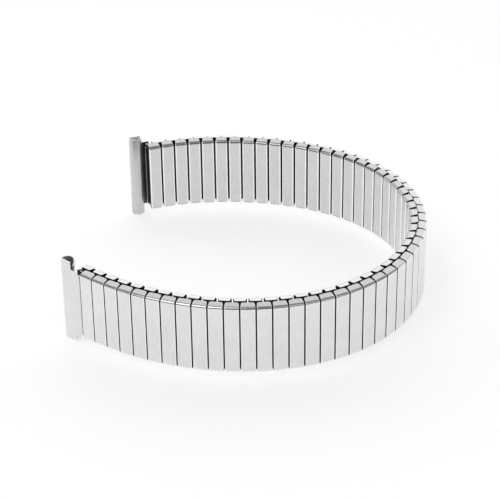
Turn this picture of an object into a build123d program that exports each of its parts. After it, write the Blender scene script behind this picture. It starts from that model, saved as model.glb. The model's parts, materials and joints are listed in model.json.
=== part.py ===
from build123d import *
from math import cos, hypot, radians, sin, sqrt
import os

# Expansion watch band, standing on edge and sprung open as it is sold.
# Two rows of folded steel sleeves lie back to back, half a pitch apart.
# U-shaped staples at both edges of the band join the rows, and each sleeve
# holds a leaf spring that presses on the staples' legs.
# Millimetres. +Z runs across the band, up from the surface it stands on.

# Band
band_width = 15.4
band_thickness = 3.45
link_pitch = 2.917
outer_link_count = 53
root_link = 27

# How the band curls at rest: the turn from one link to the next, at evenly
# spaced places from the near end to the far end.
bend_degrees = [2.4, 3.27, 3.75, 3.99, 4.77, 5.41, 5.57, 5.86, 6.05, 5.26, 3.83, 3.18, 3.62, 4.27]
near_heading = -39.8

# Gaps between pieces
row_gap = 0.16
outer_link_gap = 0.06
inner_link_gap = 0.32

# Folded sleeve
face_sheet = 0.25
flap_sheet = 0.25
side_sheet = 0.2
closing_sheet = 0.2
side_taper = 0.07
fold_corner = 0.34
end_window = 0.9
end_window_depth = 1.05

# Staple
staple_strip = 0.32
staple_sheet = 0.3
staple_leg = 3.6
staple_spread = 1.44
staple_to_flap = 0.1

# Where the staples' legs stand, from the middle of the sleeve they are in.
# Overlaps take turns: one turns like a hinge, the next draws apart.
hinge_crossing_outer_leg = -0.27
hinge_crossing_inner_leg = 0.25
slide_crossing_outer_leg = -0.8
slide_crossing_inner_leg = -0.3
fixed_outer_leg = 0.27
fixed_inner_leg_by_hinge = -0.45
fixed_inner_leg_by_slide = -0.83

# Leaf spring
spring_sheet = 0.12
spring_width = 1.7
spring_bow = 0.14
spring_to_face = 0.05
spring_to_flap = 0.3

# End piece
tube_length = 18.0
curl_radius = 1.34
curl_to_front = 0.55
curl_sheet = 0.2
curl_end_gap = 0.2
tube_reach = 1.98
shoulder_reach = 1.33
plate_bottom = 0.1
plate_top = 15.05
seat_width = 1.56
seat_sheet = 0.2

# Worked out from the sizes above
half_thickness = band_thickness / 2
half_gap = row_gap / 2
outer_link_width = link_pitch - outer_link_gap
inner_link_width = link_pitch - inner_link_gap
tube_overhang = (tube_length - band_width) / 2
steps_per_pitch = 4
quarter = link_pitch / steps_per_pitch
first_step = -steps_per_pitch
last_step = steps_per_pitch * (outer_link_count + 1)


def outer_step(number):
    return steps_per_pitch * number - steps_per_pitch // 2


def inner_step(number):
    return steps_per_pitch * number


def bend_at(step):
    """Turn per link, in degrees, at a quarter-pitch step along the band."""
    share = (step - first_step) / (last_step - first_step)
    position = share * (len(bend_degrees) - 1)
    before = min(int(position), len(bend_degrees) - 2)
    part_way = position - before
    return bend_degrees[before] * (1 - part_way) + bend_degrees[before + 1] * part_way


def walk_band():
    """Place and heading of the surface between the rows at each quarter pitch."""
    headings = {0: near_heading}
    for step in range(0, last_step):
        turn = (bend_at(step) + bend_at(step + 1)) / 2 / steps_per_pitch
        headings[step + 1] = headings[step] + turn
    for step in range(0, first_step, -1):
        turn = (bend_at(step) + bend_at(step - 1)) / 2 / steps_per_pitch
        headings[step - 1] = headings[step] - turn
    points = {first_step: (0.0, 0.0)}
    for step in range(first_step, last_step):
        along = radians((headings[step] + headings[step + 1]) / 2)
        x, y = points[step]
        points[step + 1] = (x + quarter * cos(along), y + quarter * sin(along))
    return points, headings


path_points, path_headings = walk_band()


def stand_at(step, shift_x=0.0, shift_y=0.0):
    """Where a piece stands: x along the band, y inwards, z up from the links' edge."""
    x, y = path_points[step]
    heading = radians(path_headings[step])
    plane = Plane(
        origin=(x - shift_x, y - shift_y, tube_overhang),
        x_dir=(cos(heading), sin(heading), 0),
        z_dir=(0, 0, 1),
    )
    return plane.location


def folded_sleeve(width, side):
    """A sheet folded to a flat tube, closed at both ends by its flaps.

    side is -1 for the outer row and 1 for the inner row. The back and the sides
    are cut away at each end, where the staples cross.
    """
    face = side * half_thickness
    under_face = side * (half_thickness - face_sheet)
    back = side * half_gap
    in_back = side * (half_gap + closing_sheet)
    half_face = width / 2
    half_back = half_face - side_taper
    inside_face = half_face - side_sheet
    inside_back = half_back - side_sheet
    with BuildPart() as sleeve:
        with BuildSketch(Plane.XY):
            with BuildLine():
                Polyline(
                    (-half_face, face),
                    (half_face, face),
                    (half_back, back),
                    (-half_back, back),
                    close=True,
                )
            make_face()
        extrude(amount=band_width)
        folds = sleeve.edges().filter_by(Axis.X).sort_by(Axis.Y)
        chamfer(folds[:2] if side < 0 else folds[-2:], fold_corner)
        with BuildSketch(Plane.XY.offset(flap_sheet)):
            with BuildLine():
                Polyline(
                    (-inside_face, under_face),
                    (inside_face, under_face),
                    (inside_back, in_back),
                    (-inside_back, in_back),
                    close=True,
                )
            make_face()
        extrude(amount=band_width - 2 * flap_sheet, mode=Mode.SUBTRACT)
        for window_bottom in (flap_sheet, band_width - end_window):
            with BuildSketch(Plane.XY.offset(window_bottom)):
                with Locations((0, side * (half_gap + end_window_depth) / 2)):
                    Rectangle(width, end_window_depth - half_gap)
            extrude(amount=end_window - flap_sheet, mode=Mode.SUBTRACT)
    return sleeve.part


def staple(outer_leg, inner_leg, upside_down):
    """A flat strip bent to a U. Its legs stand at the given places along the band."""
    length = hypot(staple_spread, outer_leg - inner_leg)
    half = length / 2 + staple_sheet / 2
    inside = length / 2 - staple_sheet / 2
    base = flap_sheet + staple_to_flap
    outline = [
        (-half, base),
        (half, base),
        (half, base + staple_leg),
        (inside, base + staple_leg),
        (inside, base + staple_sheet),
        (-inside, base + staple_sheet),
        (-inside, base + staple_leg),
        (-half, base + staple_leg),
    ]
    if not upside_down:
        outline = [(across, band_width - up) for across, up in outline]
    strip_plane = Plane(
        origin=((outer_leg + inner_leg) / 2, 0, 0),
        x_dir=(outer_leg - inner_leg, -staple_spread, 0),
        z_dir=(-staple_spread, inner_leg - outer_leg, 0),
    )
    with BuildPart() as bent_strip:
        with BuildSketch(strip_plane):
            with BuildLine():
                Polyline(*outline, close=True)
            make_face()
        extrude(amount=staple_strip / 2, both=True)
    return bent_strip.part


def leaf_spring(side):
    """A steel leaf, bowed so that its middle bears on the face and its ends on the legs."""
    top_of_leaf = half_thickness - face_sheet - spring_to_face
    low = flap_sheet + spring_to_flap
    high = band_width - low
    with BuildPart() as leaf:
        with BuildSketch(Plane.YZ):
            with BuildLine():
                Polyline(
                    (side * (top_of_leaf - spring_bow), low),
                    (side * top_of_leaf, band_width / 2),
                    (side * (top_of_leaf - spring_bow), high),
                    (side * (top_of_leaf - spring_bow - spring_sheet), high),
                    (side * (top_of_leaf - spring_sheet), band_width / 2),
                    (side * (top_of_leaf - spring_bow - spring_sheet), low),
                    close=True,
                )
            make_face()
        extrude(amount=spring_width / 2, both=True)
    return leaf.part


def curl_section(radius, to_front):
    """A circle about the origin with its front cut flat."""
    half_chord = sqrt(radius**2 - to_front**2)
    with BuildSketch() as section:
        with BuildLine():
            Line((-half_chord, -to_front), (half_chord, -to_front))
            ThreePointArc((half_chord, -to_front), (0, radius), (-half_chord, -to_front))
        make_face()
    return section.sketch


def end_piece(side):
    """One sheet: folded to hold the staples, and curled to a tube for the spring bar.

    side is -1 where the tube points back along the band and 1 where it points on.
    """
    front = -half_thickness
    sheet_y = front + curl_sheet / 2
    curl_centre = (side * tube_reach, front + curl_to_front)
    throat_y = front + curl_sheet + curl_end_gap / 2
    curl_edge = tube_reach - curl_radius
    fold_end = outer_link_width / 2
    fold_depth = half_thickness - half_gap
    with BuildPart() as piece:
        with BuildSketch(Plane.XY.offset(-tube_overhang)):
            with Locations(curl_centre):
                add(curl_section(curl_radius, curl_to_front))
                add(
                    curl_section(curl_radius - curl_sheet, curl_to_front - curl_sheet),
                    mode=Mode.SUBTRACT,
                )
            with Locations((side * curl_edge, throat_y)):
                Rectangle(curl_radius, curl_end_gap, mode=Mode.SUBTRACT)
        extrude(amount=tube_length)
        for low, high in ((-tube_overhang, plate_bottom), (plate_top, band_width + tube_overhang)):
            with BuildSketch(Plane.XY.offset(low)):
                with Locations((side * (shoulder_reach + curl_edge) / 2, sheet_y)):
                    Rectangle(shoulder_reach - curl_edge, curl_sheet)
            extrude(amount=high - low, mode=Mode.SUBTRACT)
        with BuildSketch(Plane.XY.offset(plate_bottom)):
            with Locations((side * (shoulder_reach - fold_end) / 2, sheet_y)):
                Rectangle(shoulder_reach + fold_end, curl_sheet)
        extrude(amount=plate_top - plate_bottom)
        with BuildSketch(Plane.XY.offset(end_window)):
            with Locations((-side * (fold_end - side_sheet / 2), front + fold_depth / 2)):
                Rectangle(side_sheet, fold_depth)
            with Locations((-side * (fold_end - seat_width / 2), -half_gap - seat_sheet / 2)):
                Rectangle(seat_width, seat_sheet)
        extrude(amount=band_width - 2 * end_window)
    return piece.part


def is_hinge(overlap):
    """Overlaps take turns away from the middle link, which has a hinge on both sides."""
    from_root = root_link - overlap if overlap <= root_link else overlap - root_link - 1
    return from_root % 2 == 0


def crossing_staples(number):
    """The staples from an outer link to the inner link before it."""
    if is_hinge(number):
        outer_leg, inner_leg = hinge_crossing_outer_leg, hinge_crossing_inner_leg
    else:
        outer_leg, inner_leg = slide_crossing_outer_leg, slide_crossing_inner_leg
    return [staple(quarter + outer_leg, inner_leg - quarter, flip) for flip in (True, False)]


def fixed_staples(number):
    """The staples from an outer link to the inner link after it."""
    by_hinge = is_hinge(number + 1)
    inner_leg = fixed_inner_leg_by_hinge if by_hinge else fixed_inner_leg_by_slide
    return [staple(fixed_outer_leg - quarter, quarter + inner_leg, flip) for flip in (True, False)]


near_end = end_piece(-1)
far_end = end_piece(1)


def plan_reach():
    """How far the whole band reaches in plan, before it is centred."""
    near_box = near_end.moved(stand_at(outer_step(0))).bounding_box()
    far_box = far_end.moved(stand_at(outer_step(outer_link_count + 1))).bounding_box()
    reach = [(box.min.X, box.min.Y) for box in (near_box, far_box)]
    reach += [(box.max.X, box.max.Y) for box in (near_box, far_box)]
    for number in range(1, outer_link_count + 1):
        link = stand_at(outer_step(number))
        for half_link in (-outer_link_width / 2, outer_link_width / 2):
            corner = link * Location((half_link, -half_thickness, 0))
            reach.append((corner.position.X, corner.position.Y))
    return reach


corners = plan_reach()
middle_x = (min(x for x, y in corners) + max(x for x, y in corners)) / 2
middle_y = (min(y for x, y in corners) + max(y for x, y in corners)) / 2


def placed(pieces, step):
    """Copies of pieces at a step of the band."""
    return [piece.moved(stand_at(step, middle_x, middle_y)) for piece in pieces]


def write_node(label, pieces):
    with BuildPart() as node:
        add(pieces)
    node.part.label = label
    export_step(node.part, f"parts/{label}.step")


os.makedirs("parts", exist_ok=True)

outer_sleeve = folded_sleeve(outer_link_width, -1)
inner_sleeve = folded_sleeve(inner_link_width, 1)
outer_spring = leaf_spring(-1)
inner_spring = leaf_spring(1)

for number in range(1, outer_link_count + 1):
    outer, inner = outer_step(number), inner_step(number)
    crossing = placed(crossing_staples(number), outer_step(number) - 1)
    fixed = placed(fixed_staples(number), inner_step(number) - 1)
    outer_pieces = placed([outer_sleeve], outer)
    inner_pieces = placed([inner_sleeve], inner)
    springs = placed([outer_spring], outer) + placed([inner_spring], inner)
    if number == root_link:
        write_node(f"outer_sleeve_{number}", outer_pieces)
        write_node(f"inner_sleeve_{number}", inner_pieces)
        write_node(f"leaf_springs_{number}", springs)
        write_node(f"staples_{number}", crossing + fixed)
    else:
        write_node(f"link_{number:02d}", outer_pieces + inner_pieces + springs + crossing + fixed)

last_link = outer_link_count + 1
first_staples = placed(fixed_staples(0), inner_step(0) - 1)
write_node("near_end_piece", placed([near_end], outer_step(0)))
write_node("near_inner_link", placed([inner_sleeve, inner_spring], inner_step(0)) + first_staples)
write_node("far_end_piece", placed([far_end], outer_step(last_link)))
write_node("far_staples", placed(crossing_staples(last_link), outer_step(last_link) - 1))
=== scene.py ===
import json
import math

import bmesh
import bpy
from mathutils import Matrix, Vector


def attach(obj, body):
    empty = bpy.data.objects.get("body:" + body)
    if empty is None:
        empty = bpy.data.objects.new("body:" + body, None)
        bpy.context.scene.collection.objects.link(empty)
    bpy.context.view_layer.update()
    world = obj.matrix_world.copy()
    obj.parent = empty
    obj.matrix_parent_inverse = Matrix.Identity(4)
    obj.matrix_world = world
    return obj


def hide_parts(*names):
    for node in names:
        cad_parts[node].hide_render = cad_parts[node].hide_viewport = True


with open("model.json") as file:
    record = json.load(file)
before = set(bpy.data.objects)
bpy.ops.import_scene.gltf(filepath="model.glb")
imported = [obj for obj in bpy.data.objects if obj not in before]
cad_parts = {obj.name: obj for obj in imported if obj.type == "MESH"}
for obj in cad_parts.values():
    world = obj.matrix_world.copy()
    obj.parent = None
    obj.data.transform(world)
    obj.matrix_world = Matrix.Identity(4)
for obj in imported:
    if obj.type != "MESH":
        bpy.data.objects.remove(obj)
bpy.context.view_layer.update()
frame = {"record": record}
mm = 0.001  # pieces are modelled in millimetres and placed in metres
tiny = 1e-4  # millimetres, places nearer than this are the same
flat = 1  # degrees, faces that turn by less than this are one face

# The band and the curve that it stands in, whose bends are degrees for each pitch, evenly spaced along it
band = {
    "pitch": 2.917,
    "width": 15.4,
    "thickness": 3.45,
    "links": 53,
    "rootLink": 27,
    "rowGap": 0.16,
    "tubeLength": 18.0,
    "startHeading": -39.8,
    "bends": [2.4, 3.27, 3.75, 3.99, 4.77, 5.41, 5.57, 5.86, 6.05, 5.26, 3.83, 3.18, 3.62, 4.27],
    "stepsPerPitch": 4,
    "hingeInwards": -0.72,
}

halfThickness = band["thickness"] / 2
halfGap = band["rowGap"] / 2
stepsPerPitch = band["stepsPerPitch"]
quarter = band["pitch"] / stepsPerPitch
overhang = (band["tubeLength"] - band["width"]) / 2
farNumber = band["links"] + 1  # the near end piece counts as outer link 0 and the far one as the last


def outerStep(number):
    return stepsPerPitch * number - stepsPerPitch // 2


def innerStep(number):
    return stepsPerPitch * number


def bendAt(step):
    firstStep, lastStep = -stepsPerPitch, innerStep(farNumber)
    place = (step - firstStep) / (lastStep - firstStep) * (len(band["bends"]) - 1)
    before = min(int(place), len(band["bends"]) - 2)
    start, end = band["bends"][before:before + 2]
    return start * (before + 1 - place) + end * (place - before)


def turnBetween(step, following):
    return (bendAt(step) + bendAt(following)) / 2 / stepsPerPitch


def walkBand():
    firstStep, lastStep = -stepsPerPitch, innerStep(farNumber)
    headings = {0: band["startHeading"]}
    for step in range(0, lastStep):
        headings[step + 1] = headings[step] + turnBetween(step, step + 1)
    for step in range(0, firstStep, -1):
        headings[step - 1] = headings[step] - turnBetween(step, step - 1)
    points = {firstStep: Vector((0.0, 0.0))}
    for step in range(firstStep, lastStep):
        along = math.radians((headings[step] + headings[step + 1]) / 2)
        points[step + 1] = points[step] + quarter * Vector((math.cos(along), math.sin(along)))
    return points, headings


bandPoints, bandHeadings = walkBand()

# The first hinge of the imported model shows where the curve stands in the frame
firstHinge = next(j for j in frame["record"]["behaviour"]["joints"] if j["name"] == "flex_01")
hingeStep = outerStep(1) - 1
hingeTurn = math.radians(bandHeadings[hingeStep])
inwards = Vector((-math.sin(hingeTurn), math.cos(hingeTurn)))
hingeSpot = bandPoints[hingeStep] + band["hingeInwards"] * inwards
curveShift = Vector(firstHinge["pos_m"][:2]) - hingeSpot * mm


def spotAt(point, up):
    x, y = point * mm + curveShift
    return Vector((x, y, up * mm))


def standAt(step):
    turn = Matrix.Rotation(math.radians(bandHeadings[step]), 4, "Z")
    return Matrix.Translation(spotAt(bandPoints[step], overhang)) @ turn @ Matrix.Scale(mm, 4)


print("curve walked:", len(bandPoints), "steps")


# Small hand tools
outerToInner = Matrix.Diagonal((1, -1, 1, 1))
nearToFar = Matrix.Diagonal((-1, 1, 1, 1))
bottomToTop = Matrix.Translation((0, 0, band["width"])) @ Matrix.Diagonal((1, 1, -1, 1))


def deselectAll():
    if bpy.context.object and bpy.context.object.mode != "OBJECT":
        bpy.ops.object.mode_set(mode="OBJECT")
    bpy.ops.object.select_all(action="DESELECT")


def takeUp(piece):
    deselectAll()
    piece.select_set(True)
    bpy.context.view_layer.objects.active = piece


def shape(piece):
    takeUp(piece)
    bpy.ops.object.mode_set(mode="EDIT")


def done():
    bpy.ops.object.mode_set(mode="OBJECT")


def addBlock(name, low, high):
    deselectAll()
    middle = [(a + b) / 2 for a, b in zip(low, high)]
    size = [b - a for a, b in zip(low, high)]
    bpy.ops.mesh.primitive_cube_add(size=1, location=middle, scale=size)
    bpy.ops.object.transform_apply(location=True, rotation=True, scale=True)
    bpy.context.object.name = name
    return bpy.context.object


def pick(piece, kind, test):
    if piece.mode != "EDIT":
        shape(piece)
    bpy.ops.mesh.select_mode(type=kind)
    bpy.ops.mesh.select_all(action="DESELECT")
    mesh = bmesh.from_edit_mesh(piece.data)
    mesh.normal_update()
    for item in {"VERT": mesh.verts, "EDGE": mesh.edges, "FACE": mesh.faces}[kind]:
        if test(item):
            item.select_set(True)
    mesh.select_flush_mode()
    bmesh.update_edit_mesh(piece.data)


def pickAll(piece):
    pick(piece, "FACE", lambda face: True)


def sliceAt(point, normal):
    bpy.ops.mesh.select_all(action="SELECT")
    bpy.ops.mesh.bisect(plane_co=point, plane_no=normal)


def close(a, b):
    return abs(a - b) < tiny


def turnOut(piece):
    pickAll(piece)
    bpy.ops.mesh.normals_make_consistent(inside=False)
    done()


def clearUp(piece):
    pickAll(piece)
    bpy.ops.mesh.remove_doubles(threshold=tiny / 10)
    bpy.ops.mesh.select_all(action="SELECT")
    bpy.ops.mesh.dissolve_limited(angle_limit=math.radians(flat), delimit={"MATERIAL"})
    done()


def smooth(piece, degrees):
    takeUp(piece)
    bpy.ops.object.shade_smooth_by_angle(angle=math.radians(degrees))
    weighted = piece.modifiers.new("weighted", "WEIGHTED_NORMAL")
    weighted.keep_sharp = True
    bpy.ops.object.modifier_apply(modifier="weighted")


def copyOf(master, name, matrix):
    mesh = master.data.copy()
    mesh.name = name
    mesh.transform(matrix)
    piece = bpy.data.objects.new(name, mesh)
    bpy.context.scene.collection.objects.link(piece)
    return piece


def joined(pieces, name):
    takeUp(pieces[0])
    for piece in pieces:
        piece.select_set(True)
    if len(pieces) > 1:
        bpy.ops.object.join()
    pieces[0].name = name
    pieces[0].data.name = name
    return pieces[0]


# Camera, from where the photograph was taken
camera = {
    "aimFromStart": (31.187, 30.085),
    "from": (0.0, -347.58, 220.08),
    "roll": -0.758,
    "lens": 144.04,
    "sensor": 36.0,
    "clip": (0.01, 20),
}


def placeCamera():
    aim = spotAt(bandPoints[0] + Vector(camera["aimFromStart"]), overhang)
    eye = aim + Vector(camera["from"]) * mm
    forward = (aim - eye).normalized()
    right = forward.cross(Vector((0, 0, 1))).normalized()
    above = right.cross(forward)
    roll = math.radians(camera["roll"])
    c, s = math.cos(roll), math.sin(roll)
    turned = Matrix((right * c + above * s, above * c - right * s, -forward)).transposed().to_4x4()
    bpy.ops.object.camera_add()
    seen = bpy.context.object
    seen.matrix_world = Matrix.Translation(eye) @ turned
    seen.data.lens = camera["lens"]
    seen.data.sensor_width = camera["sensor"]
    seen.data.clip_start, seen.data.clip_end = camera["clip"]
    bpy.context.scene.camera = seen


deselectAll()
placeCamera()
print("camera placed")


# Studio: a pale floor, a soft lamp and a sky that is brightest low behind the band.
# The sky's stops go from the horizon behind the camera (0) over the top to the one behind the band (1).
# Between sidesStart and sidesEnd, sines of the angle to the side, skySides takes over from skyMiddle.
studio = {
    "floorSize": 6.0,
    "floorColor": (0.9, 0.9, 0.9, 1),
    "floorGlow": 0.51,
    "skyMiddle": [
        (0.0, 0.08), (0.16, 0.08), (0.2, 0.25), (0.27, 0.22), (0.32, 0.2),
        (0.62, 0.28), (0.7, 0.74), (0.8, 0.84), (0.87, 0.95), (0.94, 1.3),
    ],
    "skySides": [
        (0.0, 0.08), (0.18, 0.08), (0.2, 1.25), (0.245, 1.25), (0.27, 0.2),
        (0.62, 0.28), (0.7, 0.78), (0.8, 0.84), (0.87, 0.95), (0.94, 1.3),
    ],
    "skyScale": 2,  # a stop holds no more than 1, so its level is divided by this and multiplied again
    "sidesStart": 0.14,
    "sidesEnd": 0.34,
    "lampEnergy": 1.7,
    "lampSize": 0.6,
    "lampFrom": (-0.35, -0.45, 0.9),
}


def addMath(tree, operation, *values):
    node = tree.nodes.new("ShaderNodeMath")
    node.operation = operation
    for socket, value in zip(node.inputs, values):
        if isinstance(value, bpy.types.NodeSocket):
            tree.links.new(value, socket)
        else:
            socket.default_value = value
    return node.outputs[0]


def emptyTree(owner):
    owner.use_nodes = True
    owner.node_tree.nodes.clear()
    return owner.node_tree, owner.node_tree.nodes, owner.node_tree.links


def makeSky():
    world = bpy.data.worlds.new("studioSky")
    bpy.context.scene.world = world
    tree, nodes, links = emptyTree(world)
    coords = nodes.new("ShaderNodeTexCoord")
    split = nodes.new("ShaderNodeSeparateXYZ")
    links.new(coords.outputs["Generated"], split.inputs[0])
    towardsFront = addMath(tree, "MULTIPLY", split.outputs["Y"], -1)
    angle = addMath(tree, "ARCTAN2", split.outputs["Z"], towardsFront)
    share = addMath(tree, "DIVIDE", angle, math.pi)
    eitherSide = addMath(tree, "ABSOLUTE", split.outputs["X"])
    toSide = nodes.new("ShaderNodeMapRange")
    toSide.interpolation_type = "SMOOTHSTEP"
    toSide.inputs["From Min"].default_value = studio["sidesStart"]
    toSide.inputs["From Max"].default_value = studio["sidesEnd"]
    links.new(eitherSide, toSide.inputs["Value"])
    blend = nodes.new("ShaderNodeMix")
    blend.data_type = "RGBA"
    blendInputs = [socket for socket in blend.inputs if socket.type == "RGBA"]
    blendOutput = [socket for socket in blend.outputs if socket.type == "RGBA"][0]
    links.new(toSide.outputs[0], blend.inputs[0])
    for stops, socket in zip((studio["skyMiddle"], studio["skySides"]), blendInputs):
        ramp = nodes.new("ShaderNodeValToRGB")
        elements = ramp.color_ramp.elements
        while len(elements) < len(stops):
            elements.new(0.5)
        for element, (place, level) in zip(elements, stops):
            element.position = place
            element.color = (*[level / studio["skyScale"]] * 3, 1)
        links.new(share, ramp.inputs[0])
        links.new(ramp.outputs["Color"], socket)
    scaled = nodes.new("ShaderNodeVectorMath")
    scaled.operation = "SCALE"
    scaled.inputs["Scale"].default_value = studio["skyScale"]
    links.new(blendOutput, scaled.inputs[0])
    sky = nodes.new("ShaderNodeBackground")
    links.new(scaled.outputs[0], sky.inputs["Color"])
    white = nodes.new("ShaderNodeBackground")  # what the camera sees behind the band
    white.inputs["Color"].default_value = (1, 1, 1, 1)
    path = nodes.new("ShaderNodeLightPath")
    mix = nodes.new("ShaderNodeMixShader")
    links.new(path.outputs["Is Camera Ray"], mix.inputs[0])
    links.new(sky.outputs[0], mix.inputs[1])
    links.new(white.outputs[0], mix.inputs[2])
    out = nodes.new("ShaderNodeOutputWorld")
    links.new(mix.outputs[0], out.inputs["Surface"])


def makeFloor():
    bpy.ops.mesh.primitive_plane_add(size=studio["floorSize"])
    floor = bpy.context.object
    floor.name = "paleFloor"
    floorPaint = bpy.data.materials.new("paleFloor")
    tree, nodes, links = emptyTree(floorPaint)
    matte = nodes.new("ShaderNodeBsdfDiffuse")
    matte.inputs["Color"].default_value = studio["floorColor"]
    path = nodes.new("ShaderNodeLightPath")  # the floor glows only where it is seen or mirrored
    seen = addMath(tree, "MAXIMUM", path.outputs["Is Camera Ray"], path.outputs["Is Glossy Ray"])
    seenThrough = addMath(tree, "MAXIMUM", seen, path.outputs["Is Transmission Ray"])
    glow = nodes.new("ShaderNodeEmission")
    links.new(addMath(tree, "MULTIPLY", seenThrough, studio["floorGlow"]), glow.inputs["Strength"])
    both = nodes.new("ShaderNodeAddShader")
    links.new(matte.outputs[0], both.inputs[0])
    links.new(glow.outputs[0], both.inputs[1])
    out = nodes.new("ShaderNodeOutputMaterial")
    links.new(both.outputs[0], out.inputs["Surface"])
    floor.data.materials.append(floorPaint)


def makeLamp():
    bpy.ops.object.light_add(type="AREA", location=studio["lampFrom"])
    lamp = bpy.context.object
    lamp.name = "softLamp"
    lamp.data.energy = studio["lampEnergy"]
    lamp.data.size = studio["lampSize"]
    lamp.rotation_euler = Vector(studio["lampFrom"]).to_track_quat("Z", "Y").to_euler()


makeSky()
makeFloor()
makeLamp()
bpy.context.scene.view_settings.view_transform = "Standard"
print("studio made")


# Finishes: dark and light tone, smoothest and roughest, grain across and along the links, depth of grain
finishes = {
    "brushedSteel": {"tone": (0.74, 0.84), "rough": (0.26, 0.36), "grain": (6500, 260), "bump": 0.12},
    # a darker copy of the outer steel: painted shade for the inner sleeves' faces inside the band's curve
    "shadedInnerSteel": {"tone": (0.66, 0.76), "rough": (0.27, 0.38), "grain": (6500, 260), "bump": 0.12},
    # polished edges, toned near white as a painted highlight along the rims
    "polishedEdgeHighlight": {"tone": (0.96, 1.0), "rough": (0.14, 0.22), "grain": (3000, 800), "bump": 0.03},
    "flapSteel": {"tone": (0.8, 0.9), "rough": (0.24, 0.34), "grain": (5000, 900), "bump": 0.08},
    "endSteel": {"tone": (0.7, 0.8), "rough": (0.24, 0.34), "grain": (5000, 500), "bump": 0.1},
    "stapleSteel": {"tone": (0.66, 0.8), "rough": (0.2, 0.32), "grain": (4000, 900), "bump": 0.05},
    "foldSteel": {"tone": (0.78, 0.86), "rough": (0.12, 0.2), "grain": (4000, 900), "bump": 0.05},
    # a darker copy of the fold finish: painted shade on the inner sleeves' folds
    "shadedInnerFold": {"tone": (0.5, 0.6), "rough": (0.2, 0.3), "grain": (4000, 900), "bump": 0.05},
    # a darker copy of the end steel: painted shade on the tube's side that faces into the band
    "shadedTubeBack": {"tone": (0.56, 0.66), "rough": (0.27, 0.38), "grain": (5000, 500), "bump": 0.1},
    # near white: painted light inside the tube, lifting the hollow's shade
    "litTubeInside": {"tone": (0.9, 1.0), "rough": (0.35, 0.5), "grain": (5000, 900), "bump": 0.08},
    # near black: painted shade on side walls, backs and cut faces, where shade falls between and inside the
    # parts
    "paintedShade": {"tone": (0.07, 0.13), "rough": (0.4, 0.6), "grain": (5000, 900), "bump": 0.08},
}

# What all finishes share: fine brushing, and a slow unevenness from link to link
brushing = {
    "grainDetail": 3,
    "cloudScale": 420,
    "cloudDetail": 2,
    "cloudShare": 0.4,
    "fade": (0.3, 0.7),
    "blueInDark": 1.005,
    "blueInLight": 1.01,
    "bumpHeight": 0.00003,
}


def addNoise(tree, vector, scale, detail):
    noise = tree.nodes.new("ShaderNodeTexNoise")
    noise.inputs["Scale"].default_value = scale
    noise.inputs["Detail"].default_value = detail
    tree.links.new(vector, noise.inputs["Vector"])
    return noise.outputs["Fac"]


def makeFinish(name):
    look = finishes[name]
    steel = bpy.data.materials.new(name)
    steel.use_nodes = True
    tree = steel.node_tree
    nodes, links = tree.nodes, tree.links
    surface = nodes["Principled BSDF"]
    surface.inputs["Metallic"].default_value = 1
    coords = nodes.new("ShaderNodeTexCoord")
    stretch = nodes.new("ShaderNodeMapping")
    across, along = look["grain"]
    stretch.inputs["Scale"].default_value = (across, across, along)
    links.new(coords.outputs["Object"], stretch.inputs["Vector"])
    grain = addNoise(tree, stretch.outputs[0], 1, brushing["grainDetail"])
    cloud = addNoise(tree, coords.outputs["Object"], brushing["cloudScale"], brushing["cloudDetail"])
    clouding = addMath(tree, "MULTIPLY", cloud, brushing["cloudShare"])
    blend = addMath(tree, "MULTIPLY_ADD", grain, 1 - brushing["cloudShare"], clouding)
    tone = nodes.new("ShaderNodeValToRGB")
    blues = (brushing["blueInDark"], brushing["blueInLight"])
    for element, place, level, blue in zip(tone.color_ramp.elements, brushing["fade"], look["tone"], blues):
        element.position = place
        element.color = (level, level, level * blue, 1)
    links.new(blend, tone.inputs[0])
    links.new(tone.outputs["Color"], surface.inputs["Base Color"])
    rough = nodes.new("ShaderNodeMapRange")
    rough.inputs["From Min"].default_value, rough.inputs["From Max"].default_value = brushing["fade"]
    rough.inputs["To Min"].default_value, rough.inputs["To Max"].default_value = look["rough"]
    links.new(grain, rough.inputs["Value"])
    links.new(rough.outputs[0], surface.inputs["Roughness"])
    bump = nodes.new("ShaderNodeBump")
    bump.inputs["Strength"].default_value = look["bump"]
    bump.inputs["Distance"].default_value = brushing["bumpHeight"]
    links.new(grain, bump.inputs["Height"])
    links.new(bump.outputs[0], surface.inputs["Normal"])
    return steel


materials = {name: makeFinish(name) for name in finishes}
print("finishes made:", len(materials))


def useFinishes(piece, *names):
    for name in names:
        piece.data.materials.append(materials[name])


def finishIndex(piece, name):
    return piece.data.materials.find(materials[name].name)


def paint(piece, name, test):
    index = finishIndex(piece, name)
    for face in piece.data.polygons:
        if test(face):
            face.material_index = index


def cutAway(piece, cutter):
    for material in piece.data.materials:
        cutter.data.materials.append(material)
    # the cut faces are painted near black, as painted shade inside the hollows and clipped slits
    paint(cutter, "paintedShade", lambda f: True)
    for item in (piece, cutter):  # flat triangles cut cleanly, and clearUp joins them again
        pickAll(item)
        bpy.ops.mesh.quads_convert_to_tris()
        done()
    takeUp(piece)
    cut = piece.modifiers.new("cut", "BOOLEAN")
    cut.operation = "DIFFERENCE"
    cut.solver = "EXACT"
    cut.object = cutter
    bpy.ops.object.modifier_apply(modifier="cut")
    bpy.data.objects.remove(cutter)


# Folded sleeve: one block, folded over at both ends, hollowed and clipped
sleeve = {
    "outerWidth": 2.8,
    "innerWidth": 2.58,
    "flapRise": 0.22,
    "foldRadius": 0.5,
    "foldCuts": 5,
    "edgeCuts": 3,
    "sheet": 0.25,
    "sideSheet": 0.2,
    "backSheet": 0.2,
    "taper": 0.07,
    "window": 0.9,
    "windowDepth": 1.05,
    "windowLip": 0.1,
    "clipDepth": 0.45,
    "clipBlock": (1, 2),  # from the sleeve's middle, before its inner side is set to the pad's edge
    "hem": 0.01,
    "overrun": 0.3,  # how far a cutter reaches past what it cuts
    "smooth": 38,
}

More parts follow.
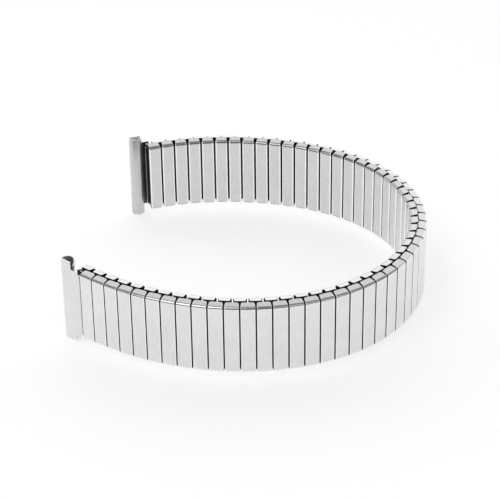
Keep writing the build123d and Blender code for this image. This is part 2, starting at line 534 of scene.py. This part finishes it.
# The pad is half the folded end's width where it leaves the fold, before its corner and at its free edge
outerLook = {
    "fold": "foldSteel", "edgeRadius": 0.14, "lower": 0.2,
    "pad": (1.35, 1.26, 1.0), "clipStart": 0.5, "corner": 0.27,
}
# the inner sleeves' folds take a darker fold finish, as painted shade
innerLook = {
    "fold": "shadedInnerFold", "edgeRadius": 0.28, "lower": 0.0,
    "pad": (1.15, 1.03, 0.9), "clipStart": 0.15, "corner": 0.14,
}

# How far a face leans to the side, the back or the end, from 0 to 1, where its finish changes
sleeveLean = {"edge": 0.25, "side": 0.93, "back": 0.9, "fold": 0.05, "flap": 0.96}

faceY, backY = -halfThickness, -halfGap


def foldSleeve(piece, half, bottom, top, look):
    for end, rise in ((bottom, sleeve["flapRise"]), (top, -sleeve["flapRise"])):
        pick(piece, "VERT", lambda v: close(v.co.y, faceY) and close(v.co.z, end))
        bpy.ops.transform.translate(value=(0, 0, rise))
    pick(piece, "EDGE", lambda e: all(close(v.co.y, faceY) for v in e.verts)
         and close(e.verts[0].co.z, e.verts[1].co.z))
    bpy.ops.mesh.bevel(offset=sleeve["foldRadius"], segments=sleeve["foldCuts"], affect="EDGES")
    pick(piece, "EDGE", lambda e: all(close(abs(v.co.x), half) for v in e.verts)
         and not all(close(v.co.y, backY) for v in e.verts)
         and close(e.verts[0].co.x, e.verts[1].co.x))
    bpy.ops.mesh.bevel(offset=look["edgeRadius"], segments=sleeve["edgeCuts"], affect="EDGES")
    pick(piece, "VERT", lambda v: close(v.co.y, backY))
    narrower = (half - sleeve["taper"]) / half
    bpy.ops.transform.resize(value=(narrower, 1, 1), center_override=(0, 0, 0))
    done()


def paintSleeve(piece, look):
    lean = sleeveLean
    # bevelled long edges are polished, and painted near white as a painted highlight
    paint(piece, "polishedEdgeHighlight", lambda f: lean["edge"] < abs(f.normal.x) < lean["side"])
    # side walls and backs are painted near black, as painted shade in the gaps between links
    paint(piece, "paintedShade", lambda f: abs(f.normal.x) >= lean["side"] or f.normal.y > lean["back"])
    paint(piece, "flapSteel", lambda f: abs(f.normal.z) > lean["flap"])
    # folds: on the inner sleeves their finish is darker, as painted shade
    paint(piece, look["fold"], lambda f: lean["fold"] < abs(f.normal.z) <= lean["flap"]
          and abs(f.normal.x) < lean["edge"])


def hollowSleeve(piece, half, bottom, top):
    overrun = sleeve["overrun"]
    inside, rise = half - sleeve["sideSheet"], sleeve["flapRise"]
    front, low, high = faceY + sleeve["sheet"], bottom + sleeve["sheet"], top - sleeve["sheet"]
    cavity = addBlock("cavity", (-inside, front, low), (inside, backY - sleeve["backSheet"], high))
    for end, move in ((low, rise), (high, -rise)):
        pick(cavity, "VERT", lambda v: close(v.co.y, front) and close(v.co.z, end))
        bpy.ops.transform.translate(value=(0, 0, move))
    done()
    cutAway(piece, cavity)
    for start, end in ((low + sleeve["windowLip"], sleeve["window"]),
                       (band["width"] - sleeve["window"], high - sleeve["windowLip"])):
        window = addBlock("window", (-half - overrun, -sleeve["windowDepth"], start),
                          (half + overrun, backY + overrun, end))
        cutAway(piece, window)


# The folded ends' sides are clipped, so that they narrow towards the other row
def clipSleeve(piece, half, top, look):
    overrun = sleeve["overrun"]
    inner, outer = sleeve["clipBlock"]
    start, corner, end = faceY + look["clipStart"], backY - look["corner"], backY + overrun
    atStart, atCorner, atBack = look["pad"]
    atEnd = atBack - overrun
    ends = ((-overrun, sleeve["clipDepth"]), (top - sleeve["clipDepth"], top + overrun))
    for low, high in ends:
        for side in (-1, 1):
            clip = addBlock("clip", (min(side * inner, side * outer), start, low),
                            (max(side * inner, side * outer), end, high))
            shape(clip)
            sliceAt((0, corner, 0), (0, 1, 0))
            for place, edge in ((start, atStart), (corner, atCorner), (end, atEnd)):
                pick(clip, "VERT", lambda v: close(v.co.y, place) and close(abs(v.co.x), inner))
                bpy.ops.transform.translate(value=(side * (edge - inner), 0, 0))
            done()
            cutAway(piece, clip)
    for low, high in ends:
        hem = addBlock("hem", (-half - overrun, backY - sleeve["hem"], low),
                       (half + overrun, backY + overrun, high))
        cutAway(piece, hem)


def makeSleeve(name, width, finish, look):
    half, bottom, top = width / 2, look["lower"], band["width"] - look["lower"]
    piece = addBlock(name, (-half, faceY, bottom), (half, backY, top))
    useFinishes(piece, finish, "polishedEdgeHighlight", "paintedShade", "flapSteel", look["fold"])
    foldSleeve(piece, half, bottom, top, look)
    paintSleeve(piece, look)
    hollowSleeve(piece, half, bottom, top)
    clipSleeve(piece, half, top, look)
    clearUp(piece)
    smooth(piece, sleeve["smooth"])
    return piece


outerSleeve = makeSleeve("outerSleeveMaster", sleeve["outerWidth"], "brushedSteel", outerLook)
# the inner sleeves take the darker copy of the steel, as painted shade
innerSleeve = makeSleeve("innerSleeveMaster", sleeve["innerWidth"], "shadedInnerSteel", innerLook)
innerSleeve.data.transform(outerToInner)
turnOut(innerSleeve)
smooth(innerSleeve, sleeve["smooth"])
print("sleeves modelled:", len(outerSleeve.data.polygons), "and", len(innerSleeve.data.polygons), "faces")


# Staple: a flat strip bent to a U
staple = {
    "strip": 0.32,
    "sheet": 0.3,
    "leg": 3.6,
    "spread": 1.44,
    "fromEdge": 0.37,
    "corner": 0.1,
    "cornerCuts": 2,
    "smooth": 40,
}

# Where the outer and the inner leg stand along the band, from the middle of their overlap
stapleLegs = {
    "hingeCrossing": (quarter - 0.27, 0.25 - quarter),
    "slideCrossing": (quarter - 0.8, -0.3 - quarter),
    "fixedByHinge": (0.27 - quarter, quarter - 0.45),
    "fixedBySlide": (0.27 - quarter, quarter - 0.83),
}


def makeStaples(kind):
    outerLeg, innerLeg = stapleLegs[kind]
    sheet, low, wide = staple["sheet"], staple["fromEdge"], staple["strip"] / 2
    half = math.hypot(staple["spread"], outerLeg - innerLeg) / 2 + sheet / 2
    piece = addBlock(kind, (-half, -wide, low), (half, wide, low + sheet))
    useFinishes(piece, "stapleSteel")
    shape(piece)
    for edge in (-half + sheet, half - sheet):
        sliceAt((edge, 0, 0), (1, 0, 0))
    pick(piece, "FACE", lambda f: close(f.normal.z, 1) and abs(f.calc_center_median().x) > half - sheet)
    bpy.ops.mesh.extrude_region_move(TRANSFORM_OT_translate={"value": (0, 0, staple["leg"] - sheet)})
    pick(piece, "EDGE", lambda e: all(close(v.co.z, low) for v in e.verts)
         and all(close(abs(v.co.x), half) for v in e.verts))
    bpy.ops.mesh.bevel(offset=staple["corner"], segments=staple["cornerCuts"], affect="EDGES")
    done()
    turn = Matrix.Rotation(math.atan2(-staple["spread"], outerLeg - innerLeg), 4, "Z")
    piece.data.transform(Matrix.Translation(((outerLeg + innerLeg) / 2, 0, 0)) @ turn)
    top = copyOf(piece, kind, bottomToTop)
    turnOut(top)
    pair = joined([piece, top], kind)
    smooth(pair, staple["smooth"])
    return pair


stapleMasters = {kind: makeStaples(kind) for kind in stapleLegs}
print("staples modelled:", len(stapleMasters), "kinds")


# Leaf spring inside each sleeve
leaf = {
    "sheet": 0.12,
    "width": 1.7,
    "bow": 0.14,
    "toFace": 0.05,
    "fromEdge": 0.55,
    "spans": 6,
    "smooth": 30,
}


def makeLeaf():
    half, front = leaf["width"] / 2, faceY + sleeve["sheet"] + leaf["toFace"]
    low, high = leaf["fromEdge"], band["width"] - leaf["fromEdge"]
    heights = [low + (high - low) * place / leaf["spans"] for place in range(leaf["spans"] + 1)]
    piece = addBlock("leafMaster", (-half, front, low), (half, front + leaf["sheet"], high))
    useFinishes(piece, "stapleSteel")
    shape(piece)
    for height in heights[1:-1]:
        sliceAt((0, 0, height), (0, 0, 1))
    for place, height in enumerate(heights):
        away = (2 * place / leaf["spans"] - 1) ** 2
        pick(piece, "VERT", lambda v: close(v.co.z, height))
        bpy.ops.transform.translate(value=(0, leaf["bow"] * away, 0))
    done()
    smooth(piece, leaf["smooth"])
    return piece


outerLeaf = makeLeaf()
innerLeaf = copyOf(outerLeaf, "innerLeafMaster", outerToInner)
turnOut(innerLeaf)
print("leaf spring modelled")


# End piece: one sheet, folded over the staples and curled to a tube
endPiece = {
    "curlRadius": 1.34,
    "curlToFront": 0.55,
    "tubeReach": 1.98,
    "shoulderReach": 0.75,
    "plateBottom": 0.1,
    "plateTop": 15.05,
    "sheet": 0.2,
    "throat": 0.2,
    "foldBend": 0.25,
    "foldBendCuts": 3,
    "seatWidth": 1.56,
    "foldTop": 0.9,
    "cornerCut": 0.2,
    "cornerCutHeight": 1.5,
    "segments": 48,
    "offFront": 0.03,  # points of the circle that lie nearer to the flat front are taken out
    "offPlate": 0.002,  # faces further than this from the flat front belong to the fold
    "offCurl": 0.05,  # and further than this, beside the curl, to the curl's free edge
    "rounding": 0.05,
    "roundingCuts": 2,
    "roundedFrom": 50,
    "smooth": 35,
}

# How far a face leans to the end or the back, from 0 to 1, where its finish changes
endLean = {"rim": 0.5, "shadedTubeBack": 0.3, "back": 0.5}

# Places on the middle of the sheet, seen along the tube
halfSheet = endPiece["sheet"] / 2
sheetY = faceY + halfSheet
curlX, curlY = -endPiece["tubeReach"], faceY + endPiece["curlToFront"]
curlRadius = endPiece["curlRadius"] - halfSheet
curlEdgeX = curlX + endPiece["curlRadius"] + endPiece["offCurl"]
frontX = curlX - math.sqrt(curlRadius ** 2 - (curlY - sheetY) ** 2)
throatY = sheetY + endPiece["sheet"] + endPiece["throat"]
throatX = curlX + math.sqrt(curlRadius ** 2 - (throatY - curlY) ** 2)
shoulderX = -endPiece["shoulderReach"]
foldX = sleeve["outerWidth"] / 2 - halfSheet
seatX, seatY = foldX - endPiece["seatWidth"] + halfSheet, backY - halfSheet


def looseEnd(piece, side):
    ends = [v for v in bmesh.from_edit_mesh(piece.data).verts if len(v.link_edges) == 1]
    return next(v.co.copy() for v in ends if (v.co.x - curlX) * side > 0)


def traceEndSheet():
    deselectAll()
    bpy.ops.mesh.primitive_circle_add(vertices=endPiece["segments"], radius=curlRadius,
                                      location=(curlX, curlY, -overhang))
    bpy.ops.object.transform_apply(location=True, rotation=True, scale=True)
    piece = bpy.context.object
    piece.name = "endPieceMaster"
    # the part of the circle below the flat front, and the throat, are taken out
    pick(piece, "VERT", lambda v: v.co.y < sheetY + endPiece["offFront"]
         or (v.co.x > curlX and v.co.y < throatY))
    bpy.ops.mesh.delete(type="VERT")
    ends = [(looseEnd(piece, 1), throatX, throatY), (looseEnd(piece, -1), frontX, sheetY)]
    for end, x, y in ends:
        pick(piece, "VERT", lambda v: (v.co - end).length < tiny)
        bpy.ops.transform.translate(value=(x - end.x, y - end.y, 0))
    # the flat front, the fold at the band's side and the seat, as one run of edges
    at = Vector((frontX, sheetY))
    for x, y in ((shoulderX, sheetY), (foldX, sheetY), (foldX, seatY), (seatX, seatY)):
        bpy.ops.mesh.extrude_region_move(TRANSFORM_OT_translate={"value": (x - at.x, y - at.y, 0)})
        at = Vector((x, y))
    for y in (sheetY, seatY):
        pick(piece, "VERT", lambda v: close(v.co.x, foldX) and close(v.co.y, y))
        bpy.ops.mesh.bevel(offset=endPiece["foldBend"], segments=endPiece["foldBendCuts"], affect="VERTICES")
    pick(piece, "EDGE", lambda e: True)
    bpy.ops.mesh.extrude_region_move(TRANSFORM_OT_translate={"value": (0, 0, band["tubeLength"])})
    return piece


def onPlate(face):
    middle = face.calc_center_median()
    return middle.x > shoulderX - tiny and close(middle.y, sheetY)


def onFold(face):
    middle = face.calc_center_median()
    return middle.x > curlEdgeX and middle.y > sheetY + endPiece["offPlate"]


def onLap(face):
    middle = face.calc_center_median()
    return curlX < middle.x < curlEdgeX and middle.y > sheetY + endPiece["offCurl"]


def trim(piece, test, point, normal):
    pick(piece, "FACE", test)
    bpy.ops.mesh.bisect(plane_co=point, plane_no=normal)
    pick(piece, "FACE", lambda f: test(f)
         and (f.calc_center_median() - Vector(point)).dot(Vector(normal)) > tiny)
    bpy.ops.mesh.delete(type="FACE")


def trimEndSheet(piece):
    # the sheet is full height at the tube, the links' height beyond, and lower where it folds
    top, foldTop = band["width"], endPiece["foldTop"]
    trim(piece, onPlate, (0, 0, endPiece["plateTop"]), (0, 0, 1))
    trim(piece, onPlate, (0, 0, endPiece["plateBottom"]), (0, 0, -1))
    trim(piece, onFold, (0, 0, top - foldTop), (0, 0, 1))
    trim(piece, onFold, (0, 0, foldTop), (0, 0, -1))
    # the curl's free edge has its corners clipped
    cutX, cutZ = endPiece["cornerCut"], endPiece["cornerCutHeight"]
    trim(piece, onLap, (throatX - cutX, 0, top + overhang), (cutZ, 0, cutX))
    trim(piece, onLap, (throatX - cutX, 0, -overhang), (cutZ, 0, -cutX))
    turnOut(piece)


def fromCurl(face):
    return (face.center.xy - Vector((curlX, curlY))).length


def onTube(face):
    return face.center.x < curlEdgeX and abs(face.normal.z) < endLean["rim"]


def paintEndPiece(piece):
    # the tube's inside is painted near white, as painted light in the hollow
    paint(piece, "litTubeInside", lambda f: onTube(f) and f.center.y > sheetY and fromCurl(f) < curlRadius)
    # the tube's side that faces into the band is painted darker, as painted shade
    paint(piece, "shadedTubeBack", lambda f: onTube(f) and f.normal.y > endLean["shadedTubeBack"]
          and fromCurl(f) > curlRadius)
    # the back of the fold and the seat are painted near black, as painted shade
    paint(piece, "paintedShade", lambda f: f.center.x > curlEdgeX and f.normal.y > endLean["back"])


def makeEndPiece():
    piece = traceEndSheet()
    trimEndSheet(piece)
    useFinishes(piece, "endSteel", "polishedEdgeHighlight", "paintedShade", "litTubeInside", "shadedTubeBack")
    wall = piece.modifiers.new("wall", "SOLIDIFY")
    wall.thickness = endPiece["sheet"]
    wall.offset = 0
    wall.use_even_offset = True
    # the sheet's cut edges and rounded edges are polished, and painted near white as a painted highlight
    wall.material_offset_rim = finishIndex(piece, "polishedEdgeHighlight")
    bpy.ops.object.modifier_apply(modifier="wall")
    paintEndPiece(piece)
    rounding = piece.modifiers.new("rounding", "BEVEL")
    rounding.width = endPiece["rounding"]
    rounding.material = finishIndex(piece, "polishedEdgeHighlight")
    rounding.segments = endPiece["roundingCuts"]
    rounding.limit_method = "ANGLE"
    rounding.angle_limit = math.radians(endPiece["roundedFrom"])
    bpy.ops.object.modifier_apply(modifier="rounding")
    turnOut(piece)
    smooth(piece, endPiece["smooth"])
    return piece


nearEnd = makeEndPiece()
farEnd = copyOf(nearEnd, "farEndMaster", nearToFar)
turnOut(farEnd)
print("end piece modelled:", len(nearEnd.data.polygons), "faces")


# The whole band: an overlap that turns and one that draws apart take turns, outwards from the middle link
def isHinge(overlap):
    root = band["rootLink"]
    fromRoot = root - overlap if overlap <= root else overlap - root - 1
    return fromRoot % 2 == 0


def crossingStaples(number):
    return "hingeCrossing" if isHinge(number) else "slideCrossing", outerStep(number) - 1


def fixedStaples(number):
    return "fixedByHinge" if isHinge(number + 1) else "fixedBySlide", innerStep(number) - 1


def standsFor(piece, body, node):
    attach(piece, body)
    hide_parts(node)


def placePiece(master, name, step, body, node):
    standsFor(copyOf(master, name, standAt(step)), body, node)


def placeStaples(number, pairs, body, node):
    name = f"staples_{number:02d}"
    copies = [copyOf(stapleMasters[kind], name, standAt(step)) for kind, step in pairs]
    standsFor(joined(copies, name), body, node)


def placeLeaves(number, body, node):
    name = f"leafSprings_{number:02d}"
    copies = [copyOf(innerLeaf, name, standAt(innerStep(number)))]
    if number > 0:
        copies.append(copyOf(outerLeaf, name, standAt(outerStep(number))))
    standsFor(joined(copies, name), body, node)


def nodeOf(number, kind):
    # the middle link has a node for each kind of piece, the others have one for all
    return f"{kind}_{number}" if number == band["rootLink"] else f"link_{number:02d}"


def placeLink(number):
    body = f"link_{number:02d}"
    placePiece(outerSleeve, f"outerSleeve_{number:02d}", outerStep(number),
               body, nodeOf(number, "outer_sleeve"))
    placePiece(innerSleeve, f"innerSleeve_{number:02d}", innerStep(number),
               body, nodeOf(number, "inner_sleeve"))
    pairs = [crossingStaples(number), fixedStaples(number)]
    placeStaples(number, pairs, body, nodeOf(number, "staples"))
    placeLeaves(number, body, nodeOf(number, "leaf_springs"))


for number in range(1, farNumber):
    placeLink(number)
print("links placed:", band["links"])

placePiece(nearEnd, "nearEndPiece", outerStep(0), "near_end", "near_end_piece")
placePiece(innerSleeve, "innerSleeve_00", innerStep(0), "near_end", "near_inner_link")
placeStaples(0, [fixedStaples(0)], "near_end", "near_inner_link")
placeLeaves(0, "near_end", "near_inner_link")
placePiece(farEnd, "farEndPiece", outerStep(farNumber), "far_end", "far_end_piece")
placeStaples(farNumber, [crossingStaples(farNumber)], "far_end", "far_staples")
print("ends placed")

masters = [outerSleeve, innerSleeve, outerLeaf, innerLeaf, nearEnd, farEnd, *stapleMasters.values()]
for master in masters:
    bpy.data.objects.remove(master)
